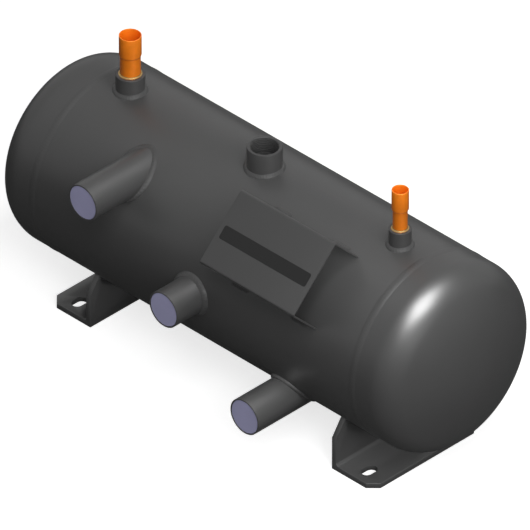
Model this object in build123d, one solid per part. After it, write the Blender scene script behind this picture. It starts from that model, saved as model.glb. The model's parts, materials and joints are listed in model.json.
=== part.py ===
# Flooded refrigerant receiver: a horizontal welded steel pressure vessel on two angle feet.
# A pipe shell is closed by two dished heads. On top stand a copper inlet, a threaded relief
# coupling and a copper liquid outlet with its dip tube. Three glazed pipe stubs on the front
# show the liquid at a high, a middle and a low level, and a folded bracket carries a nameplate.
#
# Everything is modelled about the vessel's axis and then lifted onto the floor. +Y runs along
# the vessel to the right as seen from the front, +X is the front, +Z is up. The origin is on
# the floor at the centre of the four foot slots. All sizes are in millimetres.
from build123d import *
import os
from math import asin, atan2, cos, degrees, radians, sin, sqrt, tan

# Vessel
shell_od = 219.1            # 8 in pipe
shell_wall = 4.8
tangent_length = 526.0      # between the tangent lines of the two heads
head_flange = 25.0          # straight part of each head
head_depth = 54.8           # outside depth of the dished part, a quarter of the diameter
head_knuckle = 37.2         # outside radius where the dish turns into the flange
head_wall = 5.2
axis_height = 148.5         # vessel axis above the floor

# Girth seams
root_gap = 2.4              # between the shell and the head at the foot of the groove
bevel_angle = 30.0          # each edge, measured from the seam's plane
girth_crown = 0.8           # weld metal proud of the shell
backing_width = 25.0
backing_thickness = 3.0
backing_clearance = 0.2     # between the backing ring and the shell's bore

# Copper connections and their steel bosses. The left one is the larger inlet.
connection_inset = 63.0     # from each tangent line in to the connection's centre
boss_height = 20.7          # above the top of the shell
connection_height = 69.5    # top of the copper above the top of the shell
boss_chamfer = 0.8
boss_seat_depth = 16.0      # how deep the copper sits in the boss
socket_depth = 23.5         # expanded length of the copper
swage_length = 2.4          # cone between the tube and its socket
braze_clearance = 0.08      # radial, round the copper in the boss and in a socket
braze_leg = 1.4
inlet_tube_od = 22.2
inlet_tube_wall = 1.15
inlet_socket_wall = 0.95
inlet_boss_od = 31.8
outlet_tube_od = 15.9
outlet_tube_wall = 1.25
outlet_socket_wall = 1.2
outlet_boss_od = 24.4

# Dip tube below the outlet
dip_tube_od = 15.9
dip_tube_wall = 1.2
dip_seat_depth = 7.0        # how far it enters the boss from below
dip_floor_gap = 12.0        # from its longest point to the bottom of the vessel
dip_cut_angle = 45.0

# Relief coupling
relief_od = 38.3
relief_height = 26.0        # above the top of the shell
relief_bore = 30.4          # crest diameter of the thread
relief_bore_depth = 18.6
relief_passage = 25.4       # the smaller way through the coupling's foot and the shell
relief_chamfer = 1.0

# Sight-glass stubs
stub_od = 42.2
stub_wall = 3.6
stub_reach = 150.1          # end of each stub, from the vessel's axis
stub_pitch = 120.0          # along the vessel, from one stub to the next
stub_level_step = 77.4      # height from one stub to the next
lens_diameter = 38.8
lens_thickness = 9.5
lens_clearance = 0.1        # radial
lens_setback = 0.4          # from the lens's face to the stub's end
lens_chamfer = 0.5
stub_lip_chamfer = 0.5

# Nozzle welds
nozzle_clearance = 0.3      # radial, between a nozzle and its hole in the shell
stub_weld_radius = 5.0
boss_weld_radius = 3.5

# Nameplate bracket, a channel whose flat web faces up and forwards
bracket_tilt = 45.0         # of the web's normal, from straight up towards the front
bracket_reach = 150.0       # outside of the web, from the vessel's axis
bracket_width = 88.9
bracket_length = 138.7
bracket_start = 40.3        # its left end, from the vessel's middle
bracket_sheet = 1.9
bracket_bend = 1.2          # inside radius
bracket_weld_leg = 3.0
bracket_stitch = 24.0       # length of each stitch weld
bracket_stitch_inset = 14.0

# Feet, cut from steel angle
foot_inset = 83.0           # from each tangent line in to the inner face of the web
foot_thickness = 6.35
foot_flange = 61.6
foot_length = 161.2         # front to back
foot_root_radius = 4.0
foot_corner_cut = 10.9      # on the outer corners of the flange
foot_shoulder = 40.2        # height of the web's upright edges
foot_taper_in = 12.9        # the web's edges then lean in by this
foot_taper_up = 19.4        # over this height
foot_weld_leg = 4.0
foot_weld_margin = 2.0      # degrees left bare at each end of the cope
slot_width = 12.8
slot_length = 19.6
slot_spread = 122.4         # between slot centres, front to back
slot_setback = 36.0         # from the inner face of the web out to the slot centres

shell_radius = shell_od / 2
shell_bore = shell_radius - shell_wall
tangent = tangent_length / 2                # station of the right-hand tangent line
seam = tangent - head_flange
connection_offset = tangent - connection_inset
foot_station = tangent - foot_inset
past_shell = shell_radius + stub_reach      # longer than anything that crosses the shell


def turned(section):
    """Revolve a section about the vessel's axis. It is drawn with X as radius and Y as station."""
    return revolve(section, axis=Axis.Y)


def turned_upright(section):
    """Revolve a section about a vertical axis. It is drawn with X as radius and Z as height."""
    return revolve(section, axis=Axis.Z)


def outline(plane, *points):
    """A flat face with these corners."""
    return plane * make_face(Polyline(*points, close=True))


def pipe_solid(radius):
    """A plain round bar along the vessel's axis, longer than anything near it."""
    return Rot(90, 0, 0) * Cylinder(radius, 2 * tangent_length)


def bar_up(diameter, top, bottom=0.0):
    """A round bar along Z between two heights above the vessel's axis."""
    bar = Cylinder(diameter / 2, top - bottom, align=(Align.CENTER, Align.CENTER, Align.MIN))
    return Pos(0, 0, bottom) * bar


def bar_forward(diameter, end, start=0.0):
    """A round bar along X between two distances in front of the vessel's axis."""
    return Rot(0, 90, 0) * bar_up(diameter, end, start)


def mirrored_pair(part):
    """The left-hand and right-hand copies of a right-hand part."""
    return mirror(part, about=Plane.XZ), part


# Shell and heads


def groove_setback(wall):
    """How far the bevel takes an edge back at the outside of the wall."""
    return wall * tan(radians(bevel_angle))


def nozzle_holes():
    """Bars to cut from the shell, one for each nozzle."""
    gap = 2 * nozzle_clearance
    holes = [
        Pos(0, -connection_offset, 0) * bar_up(inlet_boss_od + gap, past_shell),
        Pos(0, connection_offset, 0) * bar_up(outlet_boss_od + gap, past_shell),
        bar_up(relief_passage, past_shell),
    ]
    holes += [place * bar_forward(stub_od + gap, past_shell) for place in stub_places()]
    return holes


def make_shell():
    """The pipe, bevelled at both ends for the girth welds."""
    inner_end = seam - root_gap / 2
    outer_end = inner_end - groove_setback(shell_wall)
    section = outline(
        Plane.XY,
        (shell_bore, -inner_end),
        (shell_radius, -outer_end),
        (shell_radius, outer_end),
        (shell_bore, inner_end),
    )
    return turned(section) - nozzle_holes()


def dish_outline(inset):
    """Half of a dish's outline, this far in from its outside: a knuckle arc, then a crown arc."""
    knuckle_centre = shell_radius - head_knuckle
    crown_rise = head_depth - head_knuckle      # of the dish's pole above the knuckle's top
    crown = (knuckle_centre**2 + head_depth**2 - head_knuckle**2) / (2 * crown_rise)
    crown_centre = tangent + head_depth - crown
    turn = degrees(atan2(tangent - crown_centre, knuckle_centre))
    knuckle_arc = CenterArc((knuckle_centre, tangent), head_knuckle - inset, 0, turn)
    crown_arc = CenterArc((0, crown_centre), crown - inset, turn, 90 - turn)
    return knuckle_arc + crown_arc


def make_head():
    """The right-hand head: a straight flange and a two-to-one dish, one wall thick all over."""
    inner_end = seam + root_gap / 2
    outer_end = inner_end + groove_setback(shell_wall)
    dish_bore = shell_radius - head_wall
    pole = tangent + head_depth
    edge = Polyline((shell_bore, inner_end), (shell_radius, outer_end), (shell_radius, tangent))
    middle = Line((0, pole), (0, pole - head_wall))
    taper_end = tangent - head_flange / 2
    step = Polyline((dish_bore, tangent), (shell_bore, taper_end), (shell_bore, inner_end))
    return turned(make_face(edge + dish_outline(0) + middle + dish_outline(head_wall) + step))


def make_girth_weld():
    """The right-hand girth weld: it fills the groove and stands a little proud."""
    half_root = root_gap / 2
    half_top = half_root + groove_setback(shell_wall)
    sides = Polyline(
        (shell_radius, seam - half_top),
        (shell_bore, seam - half_root),
        (shell_bore, seam + half_root),
        (shell_radius, seam + half_top),
    )
    bead_top = (shell_radius + girth_crown, seam)
    crown = ThreePointArc((shell_radius, seam + half_top), bead_top, (shell_radius, seam - half_top))
    return turned(make_face(sides + crown))


def make_backing_ring():
    """The right-hand backing ring, inside the seam."""
    outer = shell_bore - backing_clearance
    inner = outer - backing_thickness
    low, high = seam - backing_width / 2, seam + backing_width / 2
    return turned(outline(Plane.XY, (inner, low), (outer, low), (outer, high), (inner, high)))


# Nozzle welds


def fillet_weld(nozzle, radius):
    """The weld round a nozzle: a fillet on its meeting edge with the shell, less shell and nozzle."""
    shell_bar = pipe_solid(shell_radius)
    joined = shell_bar + nozzle
    meeting = [
        edge
        for edge in joined.edges().filter_by(GeomType.BSPLINE)
        if abs(edge.center().Y - nozzle.center().Y) < shell_radius
    ]
    return fillet(meeting, radius) - joined


# Copper connections


def boss_top():
    return shell_radius + boss_height


def make_boss(boss_od, tube_od, passage, lower_seat=0.0):
    """A turned boss set through the shell and cut flush inside it. The copper sits in its top."""
    top = boss_top()
    seat = top - boss_seat_depth
    boss = bar_up(boss_od, top)
    boss = chamfer(boss.faces().sort_by(Axis.Z)[-1].edges(), boss_chamfer)
    boss -= bar_up(tube_od + 2 * braze_clearance, top, seat)
    boss -= bar_up(passage, top)
    if lower_seat:
        boss -= bar_up(lower_seat + 2 * braze_clearance, lower_seat_height())
    return boss - pipe_solid(shell_bore)


def lower_seat_height():
    """Height of the shoulder that the dip tube meets inside the outlet boss."""
    return shell_bore + dip_seat_depth


def make_copper_tube(tube_od, tube_wall, socket_wall):
    """A copper tube with its top expanded to take another tube of the same size."""
    top = shell_radius + connection_height
    foot = boss_top() - boss_seat_depth
    bore = tube_od / 2 - tube_wall
    socket_bore = tube_od / 2 + braze_clearance
    socket_foot = top - socket_depth
    cone_foot = socket_foot - swage_length
    section = outline(
        Plane.XZ,
        (bore, foot),
        (tube_od / 2, foot),
        (tube_od / 2, cone_foot),
        (socket_bore + socket_wall, socket_foot),
        (socket_bore + socket_wall, top),
        (socket_bore, top),
        (socket_bore, socket_foot),
        (bore, cone_foot),
    )
    return turned_upright(section)


def make_braze(tube_od):
    """The brazed fillet where the copper leaves the boss."""
    top = boss_top()
    tube = tube_od / 2
    return turned_upright(
        outline(Plane.XZ, (tube, top), (tube + braze_leg, top), (tube, top + braze_leg))
    )


def make_dip_tube():
    """The tube that draws liquid from the bottom of the vessel, cut on the slant at its foot."""
    foot = dip_floor_gap - shell_bore
    tube = bar_up(dip_tube_od, lower_seat_height(), foot)
    tube -= bar_up(dip_tube_od - 2 * dip_tube_wall, lower_seat_height(), foot)
    slant = outline(
        Plane.XZ,
        (-dip_tube_od / 2, foot),
        (dip_tube_od / 2, foot),
        (dip_tube_od / 2, foot + dip_tube_od * tan(radians(dip_cut_angle))),
    )
    return tube - extrude(slant, dip_tube_od, both=True)


# Relief coupling


def relief_top():
    return shell_radius + relief_height


def make_relief_coupling():
    """A half coupling whose foot is shaped to sit on the shell."""
    top = relief_top()
    thread_foot = top - relief_bore_depth
    coupling = bar_up(relief_od, top)
    coupling = chamfer(coupling.faces().sort_by(Axis.Z)[-1].edges(), relief_chamfer)
    coupling -= bar_up(relief_passage, top)
    coupling -= bar_up(relief_bore, top, thread_foot)
    mouth = coupling.edges().filter_by(GeomType.CIRCLE).group_by(Axis.Z)[-1].sort_by(SortBy.RADIUS)[0]
    coupling = chamfer(mouth, relief_chamfer)
    return coupling - pipe_solid(shell_radius)


# Sight glasses


def stub_places():
    """Where the three stubs stand: the left one high, the middle one level, the right one low."""
    return [Pos(0, step * stub_pitch, -step * stub_level_step) for step in (-1, 0, 1)]


def lens_back():
    return stub_reach - lens_setback - lens_thickness


def make_stub(place):
    """A pipe stub set through the shell, cut flush inside it and bored at its end for the lens."""
    stub = bar_forward(stub_od, stub_reach)
    stub = chamfer(stub.faces().sort_by(Axis.X)[-1].edges(), stub_lip_chamfer)
    stub -= bar_forward(stub_od - 2 * stub_wall, stub_reach)
    stub -= bar_forward(lens_diameter + 2 * lens_clearance, stub_reach, lens_back())
    return place * stub - pipe_solid(shell_bore)


def make_lens(place):
    """The glass disc seated in a stub's end."""
    lens = bar_forward(lens_diameter, lens_back() + lens_thickness, lens_back())
    return place * chamfer(lens.faces().sort_by(Axis.X)[-1].edges(), lens_chamfer)


# Nameplate bracket


def tilted(part):
    """Turn a part that was drawn upright so that it faces up and forwards."""
    return Rot(0, bracket_tilt, 0) * part


def make_bracket():
    """The folded channel: a flat web and two legs that end on the shell."""
    web_inside = bracket_reach - bracket_sheet
    outer = Pos(0, bracket_reach / 2) * Rectangle(bracket_width, bracket_reach)
    inner = Pos(0, web_inside / 2) * Rectangle(bracket_width - 2 * bracket_sheet, web_inside)
    outer = fillet(outer.vertices().group_by(Axis.Y)[-1], bracket_bend + bracket_sheet)
    inner = fillet(inner.vertices().group_by(Axis.Y)[-1], bracket_bend)
    channel = extrude(Plane.XZ * (outer - inner), -bracket_length)
    return tilted(Pos(0, bracket_start, 0) * channel - pipe_solid(shell_radius))


def make_bracket_welds():
    """Two stitches on the outside of each leg, where it meets the shell."""
    half = bracket_width / 2
    foot = sqrt(shell_radius**2 - half**2)
    slope = asin(half / shell_radius)
    toe = (half + bracket_weld_leg * cos(slope), foot - bracket_weld_leg * sin(slope))
    bead = outline(Plane.XZ, (half, foot + bracket_weld_leg), toe, (half, foot - bracket_weld_leg))
    bead = extrude(bead, -bracket_stitch) - pipe_solid(shell_radius)
    starts = (
        bracket_start + bracket_stitch_inset,
        bracket_start + bracket_length - bracket_stitch_inset - bracket_stitch,
    )
    beads = [Pos(0, start, 0) * bead for start in starts]
    beads += [mirror(bead, about=Plane.YZ) for bead in beads]
    return tilted(Compound(children=beads))


# Feet


def cope_angle():
    """Half the angle over which a foot's web touches the shell, in degrees."""
    return degrees(asin((foot_length / 2 - foot_taper_in) / shell_radius))


def make_foot():
    """The right-hand foot: an angle with its flange on the floor and its web cut to the shell."""
    floor = -axis_height
    web_top = floor + foot_shoulder + foot_taper_up
    heel, toe = foot_station, foot_station + foot_flange
    angle = make_face(
        Polyline(
            (heel, floor),
            (toe, floor),
            (toe, floor + foot_thickness),
            (heel + foot_thickness, floor + foot_thickness),
            (heel + foot_thickness, web_top),
            (heel, web_top),
            close=True,
        )
    )
    root = angle.vertices().sort_by_distance((heel + foot_thickness, floor + foot_thickness))[0]
    angle = fillet(root, foot_root_radius)
    foot = extrude(Plane.YZ * angle, foot_length / 2, both=True)
    foot = chamfer(foot_corner_edges(foot), foot_corner_cut)
    foot &= foot_front_outline(web_top)
    slot_station = foot_station + slot_setback
    foot -= [Pos(side * slot_spread / 2, slot_station, floor) * slot_cutter() for side in (-1, 1)]
    return foot - pipe_solid(shell_radius)


def foot_corner_edges(foot):
    """The two upright edges at the outer corners of the flange."""
    upright = foot.edges().filter_by(Axis.Z)
    return upright.group_by(Axis.Y)[-1]


def foot_front_outline(web_top):
    """The foot as seen along the vessel: upright edges, then a lean in towards the shell."""
    floor = -axis_height
    half = foot_length / 2
    shoulder = floor + foot_shoulder
    face = outline(
        Plane.XZ,
        (-half, floor),
        (half, floor),
        (half, shoulder),
        (half - foot_taper_in, web_top),
        (foot_taper_in - half, web_top),
        (-half, shoulder),
    )
    return extrude(face, -tangent_length)


def slot_cutter():
    """One slot, cut through the flange from front to back."""
    return extrude(SlotOverall(slot_length, slot_width), foot_thickness + foot_root_radius)


def make_foot_welds():
    """A fillet weld along each side of the right-hand foot's cope."""
    sweep = cope_angle() - foot_weld_margin
    beads = []
    for face, side in ((foot_station, -1), (foot_station + foot_thickness, 1)):
        section = outline(
            Plane.XY,
            (shell_radius, face),
            (shell_radius, face + side * foot_weld_leg),
            (shell_radius + foot_weld_leg, face),
        )
        start = Rot(0, 90 - sweep, 0) * section
        beads.append(revolve(start, axis=Axis.Y, revolution_arc=2 * sweep))
    return Compound(children=beads)


def build_all():
    """Every piece by name, about the vessel's axis."""
    pieces = {"shell": make_shell()}
    for name, part in (
        ("head", make_head()),
        ("girth_weld", make_girth_weld()),
        ("backing_ring", make_backing_ring()),
        ("foot", make_foot()),
        ("foot_weld", make_foot_welds()),
    ):
        pieces[name + "_left"], pieces[name + "_right"] = mirrored_pair(part)

    inlet, outlet = Pos(0, -connection_offset, 0), Pos(0, connection_offset, 0)
    inlet_bore = inlet_tube_od - 2 * inlet_tube_wall
    pieces["inlet_boss"] = inlet * make_boss(inlet_boss_od, inlet_tube_od, inlet_bore)
    pieces["inlet_tube"] = inlet * make_copper_tube(inlet_tube_od, inlet_tube_wall, inlet_socket_wall)
    pieces["inlet_braze"] = inlet * make_braze(inlet_tube_od)
    pieces["inlet_weld"] = inlet * fillet_weld(bar_up(inlet_boss_od, boss_top()), boss_weld_radius)

    outlet_bore = outlet_tube_od - 2 * outlet_tube_wall
    outlet_tube = make_copper_tube(outlet_tube_od, outlet_tube_wall, outlet_socket_wall)
    pieces["outlet_boss"] = outlet * make_boss(outlet_boss_od, outlet_tube_od, outlet_bore, dip_tube_od)
    pieces["outlet_tube"] = outlet * outlet_tube
    pieces["outlet_braze"] = outlet * make_braze(outlet_tube_od)
    pieces["outlet_weld"] = outlet * fillet_weld(bar_up(outlet_boss_od, boss_top()), boss_weld_radius)
    pieces["dip_tube"] = outlet * make_dip_tube()

    pieces["relief_coupling"] = make_relief_coupling()
    pieces["relief_weld"] = fillet_weld(bar_up(relief_od, relief_top()), boss_weld_radius)
    for level, place in zip(("high", "mid", "low"), stub_places()):
        pieces["sight_stub_" + level] = make_stub(place)
        pieces["sight_lens_" + level] = make_lens(place)
        weld = fillet_weld(place * bar_forward(stub_od, stub_reach), stub_weld_radius)
        pieces["sight_weld_" + level] = weld

    pieces["nameplate_bracket"] = make_bracket()
    pieces["bracket_weld"] = make_bracket_welds()
    return pieces


def main():
    os.makedirs("parts", exist_ok=True)
    for name, part in build_all().items():
        export_step(Pos(0, 0, axis_height) * part, "parts/" + name + ".step")


main()
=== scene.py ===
import json
from math import atan2, cos, pi, radians, sin, sqrt

import bmesh
import bpy
from bpy.props import FloatProperty, FloatVectorProperty, IntProperty, PointerProperty
from mathutils import Matrix, Vector

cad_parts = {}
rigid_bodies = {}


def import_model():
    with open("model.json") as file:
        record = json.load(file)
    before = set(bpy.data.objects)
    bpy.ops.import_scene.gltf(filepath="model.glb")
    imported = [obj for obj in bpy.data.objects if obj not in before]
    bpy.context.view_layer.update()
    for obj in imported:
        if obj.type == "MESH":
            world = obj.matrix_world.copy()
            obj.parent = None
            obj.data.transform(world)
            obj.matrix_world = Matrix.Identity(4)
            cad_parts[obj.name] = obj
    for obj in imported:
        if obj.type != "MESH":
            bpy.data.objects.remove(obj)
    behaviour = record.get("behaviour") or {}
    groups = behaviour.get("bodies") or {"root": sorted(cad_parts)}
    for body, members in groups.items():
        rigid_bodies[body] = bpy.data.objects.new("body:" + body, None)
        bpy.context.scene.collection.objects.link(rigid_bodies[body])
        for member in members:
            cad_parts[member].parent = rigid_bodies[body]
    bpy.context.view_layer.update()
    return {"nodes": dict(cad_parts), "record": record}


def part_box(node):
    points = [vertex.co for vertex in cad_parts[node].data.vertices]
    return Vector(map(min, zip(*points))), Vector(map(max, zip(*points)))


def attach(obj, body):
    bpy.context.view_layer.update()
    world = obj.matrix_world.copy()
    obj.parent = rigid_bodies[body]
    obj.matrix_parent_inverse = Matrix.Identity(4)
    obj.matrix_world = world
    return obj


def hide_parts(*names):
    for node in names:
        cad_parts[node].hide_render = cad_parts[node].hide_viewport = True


bl_info = {
    "name": "Flooded receiver",
    "version": (1, 0, 0),
    "blender": (4, 5, 0),
    "location": "View3D > Sidebar > Receiver",
    "description": "Dresses the receiver's packed model in paint, weld beads, copper and glass",
    "category": "Object",
}

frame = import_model()
nodes = frame["nodes"]


def mm(length):
    """Millimetres as metres."""
    return length / 1000


def linear(code):
    """An sRGB colour written as hex, as the linear red, green and blue that Blender works in."""
    channels = [int(code[i : i + 2], 16) / 255 for i in (1, 3, 5)]
    return [c / 12.92 if c <= 0.04045 else ((c + 0.055) / 1.055) ** 2.4 for c in channels]


# Places read from the frame

head_low, head_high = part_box("head_right")
shell_radius = (head_high.x - head_low.x) / 2
axis_height = (head_high.z + head_low.z) / 2
axis_point = Vector((0, 0, axis_height))
PLATE_TILT = radians(45)  # from straight up towards the front
SIDES = (("left", -1), ("right", 1))


def middle(node):
    """The centre of a node's box."""
    low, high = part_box(node)
    return (low + high) / 2


# Settings


class HeadSettings(bpy.types.PropertyGroup):
    depth: FloatProperty(
        name="Dish depth", description="Outside depth of a head's dish", default=mm(54.8),
        unit="LENGTH")
    knuckle: FloatProperty(
        name="Knuckle", description="Outside radius where the dish turns into the flange",
        default=mm(37.2), unit="LENGTH")
    wall: FloatProperty(
        name="Head wall", description="Wall of the heads", default=mm(5.2), unit="LENGTH")


class WeldSettings(bpy.types.PropertyGroup):
    girth_width: FloatProperty(
        name="Girth bead width", description="Width of the bead over each girth seam",
        default=mm(9.0), unit="LENGTH")
    girth_crown: FloatProperty(
        name="Girth bead crown", description="Height of the girth beads above the shell",
        default=mm(0.4), unit="LENGTH")
    girth_pitch: FloatProperty(
        name="Girth ripple pitch", description="Distance from ripple to ripple of a girth bead",
        default=mm(3.4), unit="LENGTH")
    fillet_pitch: FloatProperty(
        name="Fillet ripple pitch", description="Distance from ripple to ripple of a fillet",
        default=mm(2.6), unit="LENGTH")
    stub_leg: FloatProperty(
        name="Stub fillet leg", description="Leg of the fillet round each sight-glass stub",
        default=mm(4.4), unit="LENGTH")
    boss_leg: FloatProperty(
        name="Boss fillet leg", description="Leg of the fillet round each boss and the coupling",
        default=mm(3.3), unit="LENGTH")
    foot_leg: FloatProperty(
        name="Foot fillet leg", description="Leg of the fillet on each side of a foot's web",
        default=mm(4.2), unit="LENGTH")
    stitch_leg: FloatProperty(
        name="Stitch leg", description="Leg of the stitches that hold the plate's bracket",
        default=mm(3.2), unit="LENGTH")
    foot_web: FloatProperty(
        name="Foot web", description="Thickness of a foot's web", default=mm(6.35), unit="LENGTH")
    foot_sweep: FloatProperty(
        name="Foot bead sweep", description="Angle that a foot's beads cover round the vessel",
        default=radians(72.3), subtype="ANGLE")
    bracket_width: FloatProperty(
        name="Bracket width", description="Width over the legs of the plate's bracket",
        default=mm(88.9), unit="LENGTH")
    stitch_length: FloatProperty(
        name="Stitch length", description="Length of each stitch", default=mm(24.0), unit="LENGTH")
    stitch_inset: FloatProperty(
        name="Stitch inset", description="Distance of the stitches from the bracket's ends",
        default=mm(14.0), unit="LENGTH")
    swell: FloatProperty(
        name="Fillet swell", description="Height above a flat fillet, as a share of its leg",
        default=0.2, min=0.0, max=0.5)
    ripple: FloatProperty(
        name="Ripple depth", description="Depth between ripples, as a share of the swell",
        default=0.5, min=0.0, max=1.0)


class ThreadSettings(bpy.types.PropertyGroup):
    pitch: FloatProperty(
        name="Thread pitch", description="Pitch of the relief port's pipe thread",
        default=mm(2.209), unit="LENGTH")
    crest: FloatProperty(
        name="Crest radius", description="Radius of the port at the crests of its thread",
        default=mm(15.2), unit="LENGTH")
    passage: FloatProperty(
        name="Passage radius", description="Radius of the way through the coupling's foot",
        default=mm(12.7), unit="LENGTH")
    bore_depth: FloatProperty(
        name="Bore depth", description="Depth of the threaded bore", default=mm(18.6),
        unit="LENGTH")
    edge: FloatProperty(
        name="Edge", description="Chamfer at the coupling's mouth and rim", default=mm(1.0),
        unit="LENGTH")
    depth: FloatProperty(
        name="Thread depth", description="Depth of the thread from crest to root",
        default=mm(1.4), unit="LENGTH")
    turns: IntProperty(
        name="Turns", description="Turns of thread cut in the port", default=8, min=1)


class CopperSettings(bpy.types.PropertyGroup):
    inlet_od: FloatProperty(
        name="Inlet tube", description="Outside diameter of the inlet tube", default=mm(22.2),
        unit="LENGTH")
    inlet_wall: FloatProperty(
        name="Inlet wall", description="Wall of the inlet tube", default=mm(1.15), unit="LENGTH")
    outlet_od: FloatProperty(
        name="Outlet tube", description="Outside diameter of the outlet tube", default=mm(15.9),
        unit="LENGTH")
    outlet_wall: FloatProperty(
        name="Outlet wall", description="Wall of the outlet tube", default=mm(1.25), unit="LENGTH")
    socket_depth: FloatProperty(
        name="Socket depth", description="Length of the copper that is expanded into a socket",
        default=mm(23.5), unit="LENGTH")
    neck: FloatProperty(
        name="Neck", description="Length of the curve from the tube out to its socket",
        default=mm(3.0), unit="LENGTH")
    braze_leg: FloatProperty(
        name="Braze leg", description="Leg of the brazed fillet at the foot of the copper",
        default=mm(1.6), unit="LENGTH")


class PlateSettings(bpy.types.PropertyGroup):
    height: FloatProperty(
        name="Field height", description="Height of the blank field", default=mm(15.6),
        unit="LENGTH")
    length: FloatProperty(
        name="Field length", description="Length of the blank field", default=mm(127.0),
        unit="LENGTH")
    corner: FloatProperty(
        name="Field corner", description="Radius of the blank field's corners", default=mm(2.5),
        unit="LENGTH")
    drop: FloatProperty(
        name="Field drop", description="Distance of the field below the middle of the plate",
        default=mm(4.0), unit="LENGTH")
    film: FloatProperty(
        name="Film thickness", description="Thickness of the printed film", default=mm(0.25),
        unit="LENGTH")
    reach: FloatProperty(
        name="Plate reach", description="Distance of the plate's face from the vessel's axis",
        default=mm(150.0), unit="LENGTH")
    edge: FloatProperty(
        name="Plate edge", description="Rounding that grinding and paint leave on cut edges",
        default=mm(0.6), unit="LENGTH")


class FinishSettings(bpy.types.PropertyGroup):
    enamel: FloatVectorProperty(
        name="Enamel", description="Colour of the enamel", subtype="COLOR",
        default=linear("#4A4A4A"))
    copper: FloatVectorProperty(
        name="Copper", description="Colour of clean drawn copper", subtype="COLOR",
        default=linear("#F88518"))
    braze: FloatVectorProperty(
        name="Braze alloy", description="Colour of the brazing alloy", subtype="COLOR",
        default=linear("#B0925E"))
    steel: FloatVectorProperty(
        name="Bare steel", description="Colour of unpainted rolled steel", subtype="COLOR",
        default=linear("#8B8883"))
    glass: FloatVectorProperty(
        name="Sight glass", description="Colour of the sight glasses", subtype="COLOR",
        default=linear("#B9B8DD"))
    ink: FloatVectorProperty(
        name="Ink", description="Colour of the blank field", subtype="COLOR",
        default=linear("#0B0B0B"))


class StageSettings(bpy.types.PropertyGroup):
    azimuth: FloatProperty(
        name="Camera azimuth", description="Angle of the camera round the vessel; 0 looks along +Y",
        default=radians(135), subtype="ANGLE")
    elevation: FloatProperty(
        name="Camera elevation", description="Angle of the camera above the horizon",
        default=radians(35.264), subtype="ANGLE")
    lens: FloatProperty(
        name="Focal length", description="A very long lens, because the view is nearly parallel",
        default=1640.0, unit="CAMERA")
    scale: FloatProperty(
        name="Scale", description="Pixels of the picture for each metre", default=951.0)
    centre_x: FloatProperty(
        name="Centre across", description="Pixel column of the vessel's centre in the picture",
        default=264.63)
    centre_y: FloatProperty(
        name="Centre down", description="Pixel row of the vessel's centre in the picture",
        default=251.45)
    key_watts: FloatProperty(
        name="Key lamp", description="Power of the softbox overhead", default=11.0, unit="POWER")
    side_watts: FloatProperty(
        name="Side lamp", description="Power of the large softbox high on the camera's side",
        default=18.0, unit="POWER")
    low_watts: FloatProperty(
        name="Low lamp", description="Power of the large softbox low at the right-hand end",
        default=20.0, unit="POWER")
    shine_watts: FloatProperty(
        name="Shine lamp", description="Power of the softbox that shows only as a highlight",
        default=390.0, unit="POWER")
    fill_watts: FloatProperty(
        name="Fill lamp", description="Power of the softbox for the feet, low stub and copper",
        default=24.0, unit="POWER")
    sky: FloatProperty(
        name="Surround", description="Strength of the light from all round", default=0.12)
    floor: FloatVectorProperty(
        name="Floor", description="Colour of the floor in the picture", subtype="COLOR",
        default=linear("#F4F4F4"))


IMAGE_SIDE = 530


# Materials


def add_node(tree, kind, inputs=(), **settings):
    """Add a shader node, with its settings and with values or links for its inputs."""
    node = tree.nodes.new("ShaderNode" + kind)
    for name, value in settings.items():
        setattr(node, name, value)
    for name, value in dict(inputs).items():
        if isinstance(value, bpy.types.NodeSocket):
            tree.links.new(value, node.inputs[name])
        else:
            node.inputs[name].default_value = value
    return node


def per_metre(size):
    """The scale of a pattern whose features are this size."""
    return 1 / size


def blank_material(name):
    """A material with an empty tree, with the object coordinates to draw on."""
    material = bpy.data.materials.new(name)
    material.use_nodes = True
    tree = material.node_tree
    tree.nodes.clear()
    return material, tree, add_node(tree, "TexCoord").outputs["Object"]


def finish_material(tree, **inputs):
    """Close a tree with its shader and its output."""
    names = {name.replace("_", " "): value for name, value in inputs.items()}
    surface = add_node(tree, "BsdfPrincipled", names)
    add_node(tree, "OutputMaterial", {"Surface": surface.outputs[0]})


def shade(colour, share):
    """A colour made darker or lighter, as RGBA."""
    return (*[channel * share for channel in colour], 1.0)


FINISH_NAMES = {
    "paint": "Sprayed satin enamel",
    "copper": "Drawn copper",
    "braze": "Silver braze alloy",
    "bare_steel": "Bare rolled steel",
    "lens_glass": "Polished sight glass",
}


def sprayed_enamel(colour):
    """Two-pack enamel, sprayed over welded steel.

    It gives an even dark grey, a little cloudy from one pass of the gun to the next, and broad
    soft highlights that orange peel breaks up. The peel is drawn at 3.5 mm, coarser than real.
    """
    material, tree, place = blank_material(FINISH_NAMES["paint"])
    passes = add_node(
        tree, "TexNoise", {"Vector": place, "Scale": per_metre(mm(90)), "Detail": 2.0})
    tint = add_node(
        tree, "Mix", {0: passes.outputs[0], 6: shade(colour, 0.93), 7: shade(colour, 1.07)},
        data_type="RGBA")
    sheen = add_node(tree, "TexNoise", {"Vector": place, "Scale": per_metre(mm(28)), "Detail": 3.0})
    roughness = add_node(
        tree, "MapRange", {"Value": sheen.outputs[0], "To Min": 0.36, "To Max": 0.42})
    peel = add_node(tree, "TexNoise", {"Vector": place, "Scale": per_metre(mm(3.5)), "Detail": 1.0})
    bump = add_node(
        tree, "Bump", {"Strength": 0.35, "Distance": mm(0.06), "Height": peel.outputs[0]})
    finish_material(
        tree, Base_Color=tint.outputs[2], Roughness=roughness.outputs[0],
        Specular_IOR_Level=0.25, Normal=bump.outputs[0])
    return material


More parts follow.
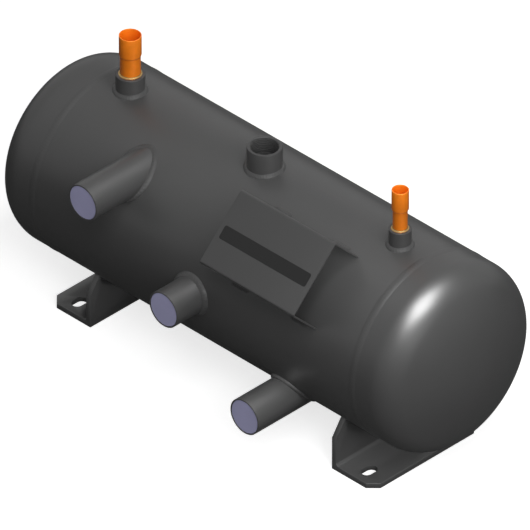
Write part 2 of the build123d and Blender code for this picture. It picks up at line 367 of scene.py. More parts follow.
def drawn_copper(colour):
    """Refrigeration copper, drawn through a die and wiped clean.

    It gives a warm orange metal whose reflections are smeared along fine lengthwise draw lines,
    with faint darker bloom where hands and heat have been.
    """
    material, tree, place = blank_material(FINISH_NAMES["copper"])
    bloom = add_node(tree, "TexNoise", {"Vector": place, "Scale": per_metre(mm(9)), "Detail": 4.0})
    tint = add_node(
        tree, "Mix", {0: bloom.outputs[0], 6: shade(colour, 0.78), 7: shade(colour, 1.08)},
        data_type="RGBA")
    stretch = add_node(tree, "Mapping", {"Vector": place, "Scale": (1.0, 1.0, 0.03)})
    lines = add_node(
        tree, "TexNoise",
        {"Vector": stretch.outputs[0], "Scale": per_metre(mm(0.7)), "Detail": 2.0})
    roughness = add_node(
        tree, "MapRange", {"Value": lines.outputs[0], "To Min": 0.3, "To Max": 0.46})
    bump = add_node(
        tree, "Bump", {"Strength": 0.3, "Distance": mm(0.02), "Height": lines.outputs[0]})
    finish_material(
        tree, Base_Color=tint.outputs[2], Metallic=0.3, Roughness=roughness.outputs[0],
        Normal=bump.outputs[0])
    return material


def silver_braze(colour):
    """Silver brazing alloy, left as it froze.

    It gives a pale brassy metal with a slightly lumpy, satin skin.
    """
    material, tree, place = blank_material(FINISH_NAMES["braze"])
    lumps = add_node(
        tree, "TexNoise", {"Vector": place, "Scale": per_metre(mm(1.8)), "Detail": 2.0})
    tint = add_node(
        tree, "Mix", {0: lumps.outputs[0], 6: shade(colour, 0.7), 7: shade(colour, 1.05)},
        data_type="RGBA")
    bump = add_node(
        tree, "Bump", {"Strength": 0.4, "Distance": mm(0.1), "Height": lumps.outputs[0]})
    finish_material(
        tree, Base_Color=tint.outputs[2], Metallic=1.0, Roughness=0.5, Normal=bump.outputs[0])
    return material


def rolled_steel(colour):
    """Bare mild steel, rolled and unpainted.

    It gives a dull grey metal with faint marks along the rolling direction.
    """
    material, tree, place = blank_material(FINISH_NAMES["bare_steel"])
    stretch = add_node(tree, "Mapping", {"Vector": place, "Scale": (1.0, 0.08, 1.0)})
    marks = add_node(
        tree, "TexNoise",
        {"Vector": stretch.outputs[0], "Scale": per_metre(mm(2)), "Detail": 3.0})
    tint = add_node(
        tree, "Mix", {0: marks.outputs[0], 6: shade(colour, 0.75), 7: shade(colour, 1.1)},
        data_type="RGBA")
    finish_material(tree, Base_Color=tint.outputs[2], Metallic=1.0, Roughness=0.45)
    return material


def sight_glass(colour):
    """A fused glass disc, ground flat and polished, over the dark of the vessel.

    It gives a smooth violet-grey face with a crisp reflection and a slightly cloudy depth.
    """
    material, tree, place = blank_material(FINISH_NAMES["lens_glass"])
    depth = add_node(tree, "TexNoise", {"Vector": place, "Scale": per_metre(mm(22)), "Detail": 1.0})
    tint = add_node(
        tree, "Mix", {0: depth.outputs[0], 6: shade(colour, 0.9), 7: shade(colour, 1.08)},
        data_type="RGBA")
    finish_material(tree, Base_Color=tint.outputs[2], Roughness=0.12, IOR=1.5)
    return material


def printed_ink(colour):
    """Black screen ink on the painted plate.

    It gives a flat field that is darker and a little glossier than the enamel round it.
    """
    material, tree, place = blank_material("Screen-printed ink")
    mesh_mark = add_node(tree, "TexNoise", {"Vector": place, "Scale": per_metre(mm(1.5))})
    roughness = add_node(
        tree, "MapRange", {"Value": mesh_mark.outputs[0], "To Min": 0.4, "To Max": 0.55})
    finish_material(
        tree, Base_Color=shade(colour, 1.0), Roughness=roughness.outputs[0], Specular_IOR_Level=0.3)
    return material


# Modelling


def alone(piece):
    """Make a piece the only one selected, and the active one."""
    bpy.ops.object.select_all(action="DESELECT")
    piece.select_set(True)
    bpy.context.view_layer.objects.active = piece


def edit(piece, action="DESELECT"):
    """Open a piece in edit mode with nothing selected, or with SELECT, all of it."""
    alone(piece)
    bpy.ops.object.mode_set(mode="EDIT")
    bpy.ops.mesh.select_mode(type="VERT")
    bpy.ops.mesh.select_all(action=action)


def close_edit():
    bpy.ops.object.mode_set(mode="OBJECT")


def select_verts(piece, test):
    """In edit mode, select the vertices that pass a test of their index and place."""
    mesh = bmesh.from_edit_mesh(piece.data)
    mesh.verts.ensure_lookup_table()
    for vert in mesh.verts:
        vert.select = test(vert.index, vert.co)
    mesh.select_flush_mode()
    bmesh.update_edit_mesh(piece.data)


def close_up(piece):
    """Fill a piece's holes and turn its faces outwards."""
    edit(piece)
    bpy.ops.mesh.select_non_manifold()
    bpy.ops.mesh.fill_holes(sides=0)
    bpy.ops.mesh.select_all(action="SELECT")
    bpy.ops.mesh.normals_make_consistent(inside=False)
    close_edit()


def settle(piece, name, slot, *replaced, angle=50, material=None):
    """Name a piece, put its place in its mesh, turn its faces outwards and smooth it.

    It then rides on the vessel in a slot's finish, in place of these nodes.
    """
    alone(piece)
    piece.name = name
    piece.data.name = name
    bpy.ops.object.transform_apply()
    edit(piece, "SELECT")
    bpy.ops.mesh.normals_make_consistent(inside=False)
    close_edit()
    bpy.ops.object.shade_smooth_by_angle(angle=radians(angle))
    piece.data.materials.clear()
    piece.data.materials.append(material or bpy.data.materials[FINISH_NAMES[slot]])
    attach(piece, "root")
    if replaced:
        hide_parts(*replaced)


def copy_of(piece, name):
    """A copy of a piece with a mesh of its own."""
    copy = bpy.data.objects.new(name, piece.data.copy())
    copy.matrix_world = piece.matrix_world.copy()
    bpy.context.scene.collection.objects.link(copy)
    return copy


def place_upright(piece, turn=0.0):
    """Turn a piece about the vessel's axis, from straight up to the front, and lift it there."""
    piece.matrix_world = Matrix.Translation(axis_point) @ Matrix.Rotation(turn, 4, "Y")


def join(piece, *others):
    """Join other pieces into one."""
    alone(piece)
    for other in others:
        other.select_set(True)
    bpy.ops.object.join()
    return piece


def apply_modifier(piece, kind, **settings):
    """Add a modifier with these settings and apply it."""
    alone(piece)
    modifier = piece.modifiers.new(kind.lower(), kind)
    for name, value in settings.items():
        setattr(modifier, name, value)
    bpy.ops.object.modifier_apply(modifier=modifier.name)


def add_ring(radius, place, count, about="Z"):
    """A ring of vertices about an upright axis, or about the vessel's."""
    tip = (pi / 2, 0, 0) if about == "Y" else (0, 0, 0)
    bpy.ops.mesh.primitive_circle_add(vertices=count, radius=radius, location=place, rotation=tip)
    ring = bpy.context.object
    bpy.ops.object.transform_apply()
    return ring


def add_plane(size, place, turn=(0, 0, 0)):
    """A square plane, the only piece selected."""
    bpy.ops.mesh.primitive_plane_add(size=size, location=place, rotation=turn)
    return bpy.context.object


def add_line(start, end, count):
    """A straight line of vertices along the vessel."""
    length = end.y - start.y
    line = add_plane(length, (start + end) / 2)
    bpy.ops.object.transform_apply()
    edit(line)
    select_verts(line, lambda index, co: co.x > start.x)
    bpy.ops.mesh.delete(type="VERT")
    bpy.ops.mesh.select_all(action="SELECT")
    bpy.ops.transform.translate(value=(length / 2, 0, 0))
    bpy.ops.mesh.subdivide(number_cuts=count - 2)
    close_edit()
    return line


def raise_skin(stations, centre, segments):
    """Raise a skin through stations of radius and height, and leave its end selected."""
    radius, height = stations[0]
    piece = add_ring(radius, (centre.x, centre.y, height), segments)
    edit(piece, "SELECT")
    for next_radius, next_height in stations[1:]:
        bpy.ops.mesh.extrude_region_move(
            TRANSFORM_OT_translate={"value": (0, 0, next_height - height)})
        share = next_radius / radius
        bpy.ops.transform.resize(
            value=(share, share, 1), center_override=(centre.x, centre.y, next_height))
        radius, height = next_radius, next_height
    return piece


def bridge_rims(piece):
    """Bridge the two open rims of a piece."""
    edit(piece)
    bpy.ops.mesh.select_non_manifold()
    bpy.ops.mesh.bridge_edge_loops()
    close_edit()


def raise_ring(stations, centre, segments=96):
    """Raise a ring on the lathe and close it on itself."""
    piece = raise_skin(stations, centre, segments)
    close_edit()
    bridge_rims(piece)
    return piece


def raise_cup(outside, inside, centre, segments=256):
    """Raise two skins on the lathe, draw each to a point at its pole, and bridge their rims."""
    skins = []
    for stations in (outside, inside):
        skins.append(raise_skin(stations, centre, segments))
        bpy.ops.mesh.merge(type="CENTER")
        close_edit()
    piece = join(*skins)
    bridge_rims(piece)
    return piece


# Weld beads. Each is modelled upright, with the vessel's axis along Y through the origin: two
# lines of toes are bridged by strips that swell into ripples, and a third line is buried.

STRIPS = 6  # across a bead
RIPPLE_STEPS = 4  # along each ripple
TOE_LAG = 0.4  # of a ripple, from its middle back to its toes
GIRTH_ROOT = mm(4.8)  # from the shell's face in to the buried line


def ripple_count(length, pitch):
    """How many vertices a line of toes gets, so that each ripple has the same few."""
    return RIPPLE_STEPS * round(length / pitch)


def bridge_bead(first_toe, second_toe, root):
    """Bridge three lines of as many vertices into a closed bead, marked by how far across it is."""
    count = len(first_toe.data.vertices)
    for toe, share in ((first_toe, 0.0), (second_toe, 1.0)):
        toe.vertex_groups.new(name="across").add(range(count), share, "REPLACE")
    piece = join(first_toe, second_toe)
    edit(piece, "SELECT")
    bpy.ops.mesh.bridge_edge_loops(number_cuts=STRIPS - 1, interpolation="LINEAR")
    close_edit()
    join(piece, root)
    total = len(piece.data.vertices)
    for first in (0, count):
        edit(piece)
        select_verts(
            piece, lambda index, co: first <= index < first + count or index >= total - count)
        bpy.ops.mesh.bridge_edge_loops()
        close_edit()
    close_up(piece)
    return piece


def swell_bead(piece, height, ripple, ripples_along):
    """Swell a bead's strips into a crown. Its ripples lag at the toes, as a frozen puddle's do."""
    crown = piece.vertex_groups.new(name="crown")
    for vert in piece.data.vertices:
        shares = [entry.weight for entry in vert.groups]
        if shares:
            across = 2 * shares[0] - 1
            wave = 0.5 + 0.5 * cos(2 * pi * (ripples_along(vert.co) - TOE_LAG * across * across))
            crown.add([vert.index], (1 - across * across) * (1 - ripple * wave), "REPLACE")
    apply_modifier(
        piece, "DISPLACE", direction="NORMAL", mid_level=0.0, strength=height, vertex_group="crown")
    piece.vertex_groups.clear()


def turned(across, up):
    """How far round a point lies, as a share of a full turn."""
    return atan2(up, across) / (2 * pi)


def make_nozzle_bead(form, nozzle, across, leg, welds):
    """The bead round a nozzle as if it stood upright, this far across the vessel."""
    low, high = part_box(nozzle)
    radius = (high.y - low.y) / 2
    along = middle(nozzle).y
    count = ripple_count(2 * pi * radius, welds.fillet_pitch)
    toe = add_ring(radius, (across, along, 2 * shell_radius), count)
    apply_modifier(
        toe, "SHRINKWRAP", target=form, wrap_method="PROJECT", use_project_z=True,
        use_positive_direction=False, use_negative_direction=True)
    spread = copy_of(toe, "spread")
    root = copy_of(toe, "root")
    centre = Vector((across, along, 0))
    deep = leg / 3
    for ring, reach, lift in ((toe, 0.0, leg), (spread, leg, 0.0), (root, -deep, -deep)):
        share = 1 + reach / radius
        grow = Matrix.Diagonal((share, share, 1, 1))
        rise = Matrix.Translation((0, 0, lift))
        ring.data.transform(rise @ Matrix.Translation(centre) @ grow @ Matrix.Translation(-centre))
    apply_modifier(spread, "SHRINKWRAP", target=form, wrap_method="NEAREST_SURFACEPOINT")
    piece = bridge_bead(toe, spread, root)
    ripples = count / RIPPLE_STEPS
    swell_bead(
        piece, welds.swell * leg, welds.ripple,
        lambda co: ripples * turned(co.x - across, co.y - along))
    return piece


def make_ring_bead(first_toe, second_toe, root, pitch, height, ripple):
    """A bead all the way round the vessel. Each line of toes is a radius and a station."""
    count = ripple_count(2 * pi * shell_radius, pitch)
    rings = [
        add_ring(radius, (0, station, 0), count, about="Y")
        for radius, station in (first_toe, second_toe, root)
    ]
    piece = bridge_bead(*rings)
    ripples = count / RIPPLE_STEPS
    swell_bead(piece, height, ripple, lambda co: ripples * turned(co.x, co.z))
    return piece


def trim_to_arc(piece, sweep):
    """Keep the part of a ring bead within this sweep of the vessel's lowest line."""
    half = sweep / 2
    for side in (-1, 1):
        edit(piece, "SELECT")
        bpy.ops.mesh.bisect(
            plane_co=(0, 0, 0), plane_no=(side * cos(half), 0, sin(half)), use_fill=True,
            clear_outer=True)
        close_edit()


def taper_end(piece, length, way_in, root_at, steps=8):
    """Shrink a bead towards its root, slice by slice over this length, as its last puddle froze."""
    edit(piece)
    for step in range(steps):
        near = length * step / steps
        far = length * (step + 1) / steps
        select_verts(piece, lambda index, co: near <= max(way_in(co), 0) < far)
        share = sqrt(1 - (1 - (step + 0.5) / steps) ** 2)
        bpy.ops.transform.resize(
            value=(share, share, share), center_override=root_at((near + far) / 2))
    close_edit()


# Operators


class RECEIVER_OT_finishes(bpy.types.Operator):
    """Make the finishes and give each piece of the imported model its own"""

    bl_idname = "receiver.finishes"
    bl_label = "Finishes"

    def execute(self, context):
        finish = context.scene.receiver_finish
        made = {
            "paint": sprayed_enamel(finish.enamel),
            "copper": drawn_copper(finish.copper),
            "braze": silver_braze(finish.braze),
            "bare_steel": rolled_steel(finish.steel),
            "lens_glass": sight_glass(finish.glass),
        }
        for part in frame["record"]["subparts"]:
            worn = nodes[part["node"]].data.materials
            worn.clear()
            worn.append(made[part["material_slot"]])
        return {"FINISHED"}


class RECEIVER_OT_heads(bpy.types.Operator):
    """Press the two dished heads, smooth over the pole"""

    bl_idname = "receiver.heads"
    bl_label = "Dished heads"

    def execute(self, context):
        head = context.scene.receiver_head
        for side, out in SIDES:
            low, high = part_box("head_" + side)
            pole = max(abs(low.y), abs(high.y))
            rim = abs(middle("girth_weld_" + side).y) - pole
            skins = [
                [(shell_radius - inset, rim)] + dish(head, inset) for inset in (0.0, head.wall)]
            piece = raise_cup(*skins, Vector((0, 0, 0)))
            tip = Matrix.Rotation(-out * pi / 2, 4, "X")
            piece.matrix_world = Matrix.Translation((0, out * pole, axis_height)) @ tip
            settle(piece, "dished_head_" + side, "paint", "head_" + side, angle=40)
        return {"FINISHED"}


HOLD = mm(1.5)  # from the dish to a ring that keeps the flange straight
TIP = mm(0.5)  # radius of the ring next to the pole


def dish(head, inset, steps=16):
    """Stations of a dish this far in from its outside, from its flange to nearly its pole."""
    centre = shell_radius - head.knuckle
    crown = (centre**2 + head.depth**2 - head.knuckle**2) / (2 * (head.depth - head.knuckle))
    turn = atan2(crown - head.depth, centre)
    small = head.knuckle - inset
    large = crown - inset
    arc = [turn * step / steps for step in range(steps + 1)]
    rest = [turn + (pi / 2 - turn) * step / steps for step in range(1, steps)]
    stations = [(shell_radius - inset, -head.depth - HOLD)]
    stations += [(centre + small * cos(a), small * sin(a) - head.depth) for a in arc]
    stations += [(large * cos(a), large * sin(a) - crown) for a in rest]
    return stations + [(TIP, sqrt(large**2 - TIP**2) - crown)]


class RECEIVER_OT_girth_beads(bpy.types.Operator):
    """Lay the beads that close the two girth seams"""

    bl_idname = "receiver.girth_beads"
    bl_label = "Girth beads"

    def execute(self, context):
        welds = context.scene.receiver_welds
        half = welds.girth_width / 2
        for side, _ in SIDES:
            node = "girth_weld_" + side
            seam = middle(node).y
            piece = make_ring_bead(
                (shell_radius, seam - half), (shell_radius, seam + half),
                (shell_radius - GIRTH_ROOT, seam), welds.girth_pitch, welds.girth_crown,
                welds.ripple / 2)
            place_upright(piece)
            settle(piece, "girth_bead_" + side, "paint", node, angle=35)
        return {"FINISHED"}


class RECEIVER_OT_nozzle_beads(bpy.types.Operator):
    """Lay the fillets round the bosses, the coupling and the sight-glass stubs"""

    bl_idname = "receiver.nozzle_beads"
    bl_label = "Nozzle beads"

    def execute(self, context):
        welds = context.scene.receiver_welds
        bpy.ops.mesh.primitive_cylinder_add(
            vertices=1440, radius=shell_radius, depth=mm(600), rotation=(pi / 2, 0, 0))
        form = bpy.context.object
        for nozzle, name in (
                ("inlet_boss", "inlet"), ("outlet_boss", "outlet"), ("relief_coupling", "relief")):
            piece = make_nozzle_bead(form, nozzle, 0.0, welds.boss_leg, welds)
            place_upright(piece)
            settle(piece, name + "_bead", "paint", name + "_weld")
        for level in ("high", "mid", "low"):
            stub = "sight_stub_" + level
            across = axis_height - middle(stub).z
            piece = make_nozzle_bead(form, stub, across, welds.stub_leg, welds)
            place_upright(piece, pi / 2)
            settle(piece, "sight_bead_" + level, "paint", "sight_weld_" + level)
        bpy.data.objects.remove(form)
        return {"FINISHED"}


class RECEIVER_OT_foot_beads(bpy.types.Operator):
    """Lay the fillets along both sides of each foot's cope"""

    bl_idname = "receiver.foot_beads"
    bl_label = "Foot beads"

    def execute(self, context):
        welds = context.scene.receiver_welds
        leg = welds.foot_leg
        deep = leg / 3
        half = welds.foot_sweep / 2
        for side, out in SIDES:
            low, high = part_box("foot_" + side)
            heel = min(abs(low.y), abs(high.y))
            beads = []
            for face, away in ((heel, -1), (heel + welds.foot_web, 1)):
                bead = make_ring_bead(
                    (shell_radius + leg, out * face),
                    (shell_radius, out * (face + away * leg)),
                    (shell_radius - deep, out * (face - away * deep)),
                    welds.fillet_pitch, welds.swell * leg, welds.ripple)
                trim_to_arc(bead, welds.foot_sweep)
                for end in (-1, 1):
                    taper_end(
                        bead, leg,
                        lambda co: shell_radius * (half - end * atan2(co.x, -co.z)),
                        lambda way: (
                            end * shell_radius * sin(half - way / shell_radius), out * face,
                            -shell_radius * cos(half - way / shell_radius)))
                beads.append(bead)
            piece = join(*beads)
            place_upright(piece)
            settle(piece, "foot_beads_" + side, "paint", "foot_weld_" + side)
        return {"FINISHED"}


class RECEIVER_OT_stitches(bpy.types.Operator):
    """Lay the stitches that hold the plate's bracket to the shell"""

    bl_idname = "receiver.stitches"
    bl_label = "Bracket stitches"

    def execute(self, context):
        welds = context.scene.receiver_welds
        leg = welds.stitch_leg
        deep = leg / 3
        half = welds.bracket_width / 2
        foot = sqrt(shell_radius**2 - half**2)
        slope = atan2(half, foot)
        low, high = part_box("nameplate_bracket")
        starts = (
            low.y + welds.stitch_inset, high.y - welds.stitch_inset - welds.stitch_length)
        count = ripple_count(welds.stitch_length, welds.fillet_pitch)
        corners = (
            (half, foot + leg),
            (half + leg * cos(slope), foot - leg * sin(slope)),
            (half - deep, foot - deep),
        )
        stitches = []
        for start in starts:
            stop = start + welds.stitch_length
            for side in (-1, 1):
                lines = [
                    add_line(Vector((side * x, start, z)), Vector((side * x, stop, z)), count)
                    for x, z in corners
                ]
                stitch = bridge_bead(*lines)
                swell_bead(
                    stitch, welds.swell * leg, welds.ripple,
                    lambda co: (co.y - start) / welds.fillet_pitch)
                for origin, along in ((start, 1), (stop, -1)):
                    taper_end(
                        stitch, leg,
                        lambda co: along * (co.y - origin),
                        lambda way: (side * half, origin + along * way, foot))
                stitches.append(stitch)
        piece = join(*stitches)
        place_upright(piece, PLATE_TILT)
        settle(piece, "bracket_stitches", "paint", "bracket_weld")
        return {"FINISHED"}


ROUND = 0.3  # of a rounded edge's radius, from each face to the middle of the round
FOOT_DEPTH = mm(3)  # of the coupling's foot, in the shell


class RECEIVER_OT_relief_port(bpy.types.Operator):
    """Turn the relief coupling and cut its pipe thread"""

    bl_idname = "receiver.relief_port"
    bl_label = "Relief port"

    def execute(self, context):
        thread = context.scene.receiver_thread
        low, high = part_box("relief_coupling")
        outer = (high.x - low.x) / 2
        top = high.z
        floor = top - thread.bore_depth
        foot = axis_height + shell_radius - FOOT_DEPTH
        edge = thread.edge
        soft = ROUND * edge
        stations = [
            (outer, foot), (outer, top - edge), (outer - soft, top - soft),
            (outer - edge, top), (thread.crest + edge, top), (thread.crest, top - edge),
            (thread.crest, floor), (thread.passage, floor), (thread.passage, foot),
        ]
        piece = raise_ring(stations, middle("relief_coupling"), segments=192)
        tap = make_tap(thread, top)
        apply_modifier(piece, "BOOLEAN", operation="DIFFERENCE", solver="EXACT", object=tap)
        bpy.data.objects.remove(tap)
        settle(piece, "relief_port", "paint", "relief_coupling", angle=30)
        return {"FINISHED"}


TAP_OVERLAP = mm(0.5)  # of the rib, inside the bore
TAP_LEAD = 0.7  # pitches of it above the mouth
RIB_WIDTH = 0.96  # pitches, at its foot
RIB_TIP = 0.14  # of that width, at its tip


def make_tap(thread, top):
    """A rib that winds down the port, as wide at its foot as its pitch and narrow at its tip."""
    inner = thread.crest - TAP_OVERLAP
    outer = thread.crest + thread.depth
    bottom = top + TAP_LEAD * thread.pitch - thread.turns * thread.pitch
    tap = add_plane(1, ((inner + outer) / 2, 0, bottom), (pi / 2, 0, 0))
    tap.scale = (outer - inner, RIB_WIDTH * thread.pitch, 1)
    bpy.ops.object.transform_apply()
    edit(tap)
    select_verts(tap, lambda index, co: co.x > (inner + outer) / 2)
    bpy.ops.transform.resize(value=(1, 1, RIB_TIP), center_override=(outer, 0, bottom))
    bpy.ops.mesh.select_all(action="SELECT")
    bpy.ops.mesh.delete(type="ONLY_FACE")
    close_edit()
    apply_modifier(
        tap, "SCREW", axis="Z", screw_offset=thread.pitch, iterations=thread.turns, steps=64,
        render_steps=64, use_merge_vertices=False)
    close_up(tap)
    return tap


SOCKET_GAP = mm(0.08)  # between a socket and the tube that will go into it


class RECEIVER_OT_coppers(bpy.types.Operator):
    """Draw the copper connections, with their sockets, and braze them into their bosses"""

    bl_idname = "receiver.coppers"
    bl_label = "Copper connections"

    def execute(self, context):
        copper = context.scene.receiver_copper
        sizes = (
            ("inlet", copper.inlet_od, copper.inlet_wall),
            ("outlet", copper.outlet_od, copper.outlet_wall),
        )
        for name, tube_od, wall in sizes:
            node = name + "_tube"
            low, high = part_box(node)
            centre = middle(node)
            tube = tube_od / 2
            bore = tube - wall
            socket = (high.y - low.y) / 2
            socket_bore = tube + SOCKET_GAP
            top, foot = high.z, low.z
            shoulder = top - copper.socket_depth
            neck = shoulder - copper.neck
            lip = (socket - socket_bore) / 3
            soft = ROUND * lip
            outside = [(tube, foot)] + ease(tube, neck, socket, shoulder)
            outside += [(socket, top - lip), (socket - soft, top - soft), (socket - lip, top)]
            inside = [
                (socket_bore + lip, top), (socket_bore + soft, top - soft),
                (socket_bore, top - lip)]
            inside += ease(bore, neck, socket_bore, shoulder)[::-1] + [(bore, foot)]
            piece = raise_ring(outside + inside, centre)
            settle(piece, name + "_copper", "copper", node)
            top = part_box(name + "_boss")[1].z
            leg = copper.braze_leg
            cove = [
                (tube + leg * (1 - sin(turn)), top + leg * (1 - cos(turn)))
                for turn in [radians(15 * step) for step in range(7)]
            ]
            hidden = (tube - mm(0.05), top - mm(0.1))
            piece = raise_ring([hidden] + cove, centre)
            settle(piece, name + "_braze_ring", "braze", name + "_braze")
        return {"FINISHED"}


def ease(first_radius, first_height, second_radius, second_height, steps=8):
    """Stations of an easy S from one radius and height to another."""
    stations = []
    for step in range(steps + 1):
        share = step / steps
        swing = 0.5 - 0.5 * cos(pi * share)
        stations.append((
            first_radius + (second_radius - first_radius) * swing,
            first_height + (second_height - first_height) * share,
        ))
    return stations


class RECEIVER_OT_plates(bpy.types.Operator):
    """Ease the cut edges of the feet and of the plate's bracket"""

    bl_idname = "receiver.plates"
    bl_label = "Eased plate edges"

    def execute(self, context):
        edge = context.scene.receiver_plate.edge
        for node, name in (
                ("foot_left", "foot_plate_left"),
                ("foot_right", "foot_plate_right"),
                ("nameplate_bracket", "bracket_plate")):
            piece = copy_of(nodes[node], name)
            edit(piece, "SELECT")
            bpy.ops.mesh.remove_doubles(threshold=mm(0.001))
            bpy.ops.mesh.dissolve_limited(angle_limit=radians(0.5))
            close_edit()
            apply_modifier(
                piece, "BEVEL", width=edge, segments=2, limit_method="ANGLE",
                angle_limit=radians(40), use_clamp_overlap=True)
            settle(piece, name, "paint", node, angle=30)
        return {"FINISHED"}


class RECEIVER_OT_field(bpy.types.Operator):
    """Print a blank field across the plate"""

    bl_idname = "receiver.field"
    bl_label = "Blank field"

    def execute(self, context):
        plate = context.scene.receiver_plate
        piece = add_plane(1, (plate.drop, middle("nameplate_bracket").y, plate.reach))
        piece.scale = (plate.height, plate.length, 1)
        bpy.ops.object.transform_apply()
        edit(piece, "SELECT")
        bpy.ops.mesh.bevel(offset=plate.corner, segments=6, affect="VERTICES")
        close_edit()
        apply_modifier(piece, "SOLIDIFY", thickness=plate.film, offset=1.0)
        place_upright(piece, PLATE_TILT)
        ink = printed_ink(context.scene.receiver_finish.ink)
        settle(piece, "blank_field", "paint", material=ink, angle=30)
        return {"FINISHED"}


class RECEIVER_OT_stage(bpy.types.Operator):
    """Lay the floor, hang the lamps and set the camera"""

    bl_idname = "receiver.stage"
    bl_label = "Stage"

    def execute(self, context):
        stage = context.scene.receiver_stage
        lay_floor(stage)
        light_surround(context.scene, stage)
        lamps = {name: add_softbox(name, getattr(stage, name + "_watts")) for name in SOFTBOXES}
        lamps["shine"].visible_diffuse = False
        light_alone(lamps["shine"], "shell", "dished_head", "girth_bead", "sight_stub")
        light_alone(
            lamps["fill"], "foot_plate", "foot_bead", "sight_stub_low", "sight_bead_low",
            "inlet_copper", "outlet_copper")
        add_camera(context.scene, stage)
        return {"FINISHED"}


WHITE = (1.0, 1.0, 1.0, 1.0)
FLOOR_SIDE = 120
FLOOR_LIFT = 0.72  # brings the lit floor up to white in the picture
BOUNCED = "#707070"  # what the floor throws back on the object
MIRRORED = "#666666"  # what the object's gloss shows of the floor


def lay_floor(stage):
    """A wide floor. The camera sees it white, and the vessel and its reflections see it grey."""
    floor = add_plane(FLOOR_SIDE, (0, 0, 0))
    floor.name = "floor"
    material, tree, _ = blank_material("Pale studio floor")
    seen = add_node(tree, "BsdfDiffuse", {"Color": (*stage.floor, 1.0)})
    lift = add_node(tree, "Emission", {"Color": WHITE, "Strength": FLOOR_LIFT})
    picture = add_node(tree, "AddShader", {0: seen.outputs[0], 1: lift.outputs[0]})
    bounce = add_node(tree, "BsdfDiffuse", {"Color": (*linear(BOUNCED), 1.0)})
    mirrored = add_node(tree, "BsdfDiffuse", {"Color": (*linear(MIRRORED), 1.0)})
    rays = add_node(tree, "LightPath")
    thrown = add_node(
        tree, "MixShader",
        {0: rays.outputs["Is Glossy Ray"], 1: bounce.outputs[0], 2: mirrored.outputs[0]})
    mixed = add_node(
        tree, "MixShader",
        {0: rays.outputs["Is Camera Ray"], 1: thrown.outputs[0], 2: picture.outputs[0]})
    add_node(tree, "OutputMaterial", {"Surface": mixed.outputs[0]})
    floor.data.materials.append(material)


def light_surround(scene, stage):
    """A white surround, dimmer in the light that it throws."""
    world = bpy.data.worlds.new("Studio")
    scene.world = world
    world.use_nodes = True
    tree = world.node_tree
    tree.nodes.clear()
    rays = add_node(tree, "LightPath")
    seen = add_node(
        tree, "Math", {0: rays.outputs["Is Camera Ray"], 1: rays.outputs["Is Glossy Ray"]},
        operation="MAXIMUM")
    strength = add_node(
        tree, "MapRange", {"Value": seen.outputs[0], "To Min": stage.sky, "To Max": 1.0})
    sky = add_node(tree, "Background", {"Color": WHITE, "Strength": strength.outputs[0]})
    add_node(tree, "OutputWorld", {"Surface": sky.outputs[0]})


# The direction of each softbox from the vessel, and its side
SOFTBOXES = {
    "key": ((0.0, 0.285, 0.957), mm(420)),
    "side": ((0.5, 0.52, 0.69), mm(1400)),
    "low": ((0.25, 0.87, 0.42), mm(1400)),
    "shine": ((0.2, 0.375, 0.905), mm(1400)),
    "fill": ((0.1, 0.3, 0.95), mm(420)),
}
LAMP_DISTANCE = 2.3
SENSOR = 36.0  # millimetres across


def add_softbox(name, watts):
    """A square area lamp that faces the vessel."""
    direction, side = SOFTBOXES[name]
    lamp = bpy.data.lights.new(name.capitalize() + " lamp", "AREA")
    lamp.size = side
    lamp.energy = watts
    box = bpy.data.objects.new(lamp.name, lamp)
    out = Vector(direction).normalized()
    box.location = axis_point + LAMP_DISTANCE * out
    box.rotation_euler = (-out).to_track_quat("-Z", "Y").to_euler()
    bpy.context.scene.collection.objects.link(box)
    return box


def light_alone(lamp, *starts):
    """Let a lamp light only the pieces whose names start so, with no shadow on them from others."""
    lit = bpy.data.collections.new(lamp.name)
    for piece in bpy.data.objects:
        if piece.name.startswith(starts):
            lit.objects.link(piece)
    lamp.light_linking.receiver_collection = lit
    lamp.light_linking.blocker_collection = lit


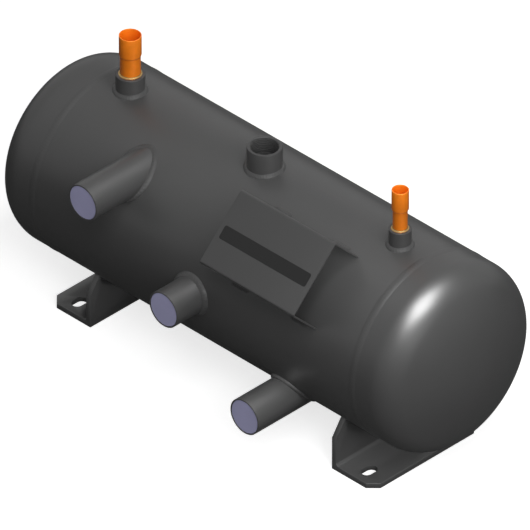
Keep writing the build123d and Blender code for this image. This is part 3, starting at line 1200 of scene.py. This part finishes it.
def add_camera(scene, stage):
    """The picture's camera, along the diagonal of a cube, with a very long lens."""
    camera = bpy.data.cameras.new("Camera")
    camera.lens = stage.lens
    camera.sensor_width = SENSOR
    back = Vector((
        sin(stage.azimuth) * cos(stage.elevation),
        -cos(stage.azimuth) * cos(stage.elevation),
        sin(stage.elevation),
    ))
    turn = (-back).to_track_quat("-Z", "Y")
    across = turn @ Vector((1, 0, 0))
    up = turn @ Vector((0, 1, 0))
    off_x = (IMAGE_SIDE / 2 - stage.centre_x) / stage.scale
    off_y = (IMAGE_SIDE / 2 - stage.centre_y) / stage.scale
    aim = axis_point + across * off_x - up * off_y
    distance = IMAGE_SIDE / stage.scale * camera.lens / SENSOR
    camera.clip_start = distance / 100
    camera.clip_end = distance * 10
    holder = bpy.data.objects.new("Camera", camera)
    holder.location = aim + back * distance
    holder.rotation_mode = "QUATERNION"
    holder.rotation_quaternion = turn
    scene.collection.objects.link(holder)
    scene.camera = holder
    scene.view_settings.view_transform = "Standard"


class RECEIVER_PT_panel(bpy.types.Panel):
    """The receiver's settings and steps"""

    bl_label = "Flooded receiver"
    bl_space_type = "VIEW_3D"
    bl_region_type = "UI"
    bl_category = "Receiver"

    def draw(self, context):
        for name, group in settings_groups.items():
            box = self.layout.box()
            settings = getattr(context.scene, name)
            for field in group.__annotations__:
                box.prop(settings, field)
        for step in steps:
            self.layout.operator(step.bl_idname)


settings_groups = {
    "receiver_head": HeadSettings,
    "receiver_welds": WeldSettings,
    "receiver_thread": ThreadSettings,
    "receiver_copper": CopperSettings,
    "receiver_plate": PlateSettings,
    "receiver_finish": FinishSettings,
    "receiver_stage": StageSettings,
}
steps = (
    RECEIVER_OT_finishes,
    RECEIVER_OT_heads,
    RECEIVER_OT_girth_beads,
    RECEIVER_OT_nozzle_beads,
    RECEIVER_OT_foot_beads,
    RECEIVER_OT_stitches,
    RECEIVER_OT_relief_port,
    RECEIVER_OT_coppers,
    RECEIVER_OT_plates,
    RECEIVER_OT_field,
    RECEIVER_OT_stage,
)


def register():
    for group in settings_groups.values():
        bpy.utils.register_class(group)
    for step in steps:
        bpy.utils.register_class(step)
    bpy.utils.register_class(RECEIVER_PT_panel)
    for name, group in settings_groups.items():
        setattr(bpy.types.Scene, name, PointerProperty(type=group))


def unregister():
    for name in settings_groups:
        delattr(bpy.types.Scene, name)
    bpy.utils.unregister_class(RECEIVER_PT_panel)
    for step in reversed(steps):
        bpy.utils.unregister_class(step)
    for group in reversed(settings_groups.values()):
        bpy.utils.unregister_class(group)


def main():
    register()
    bpy.ops.receiver.finishes()
    bpy.ops.receiver.heads()
    bpy.ops.receiver.girth_beads()
    bpy.ops.receiver.nozzle_beads()
    bpy.ops.receiver.foot_beads()
    bpy.ops.receiver.stitches()
    bpy.ops.receiver.relief_port()
    bpy.ops.receiver.coppers()
    bpy.ops.receiver.plates()
    bpy.ops.receiver.field()
    bpy.ops.receiver.stage()


if __name__ == "__main__":
    main()
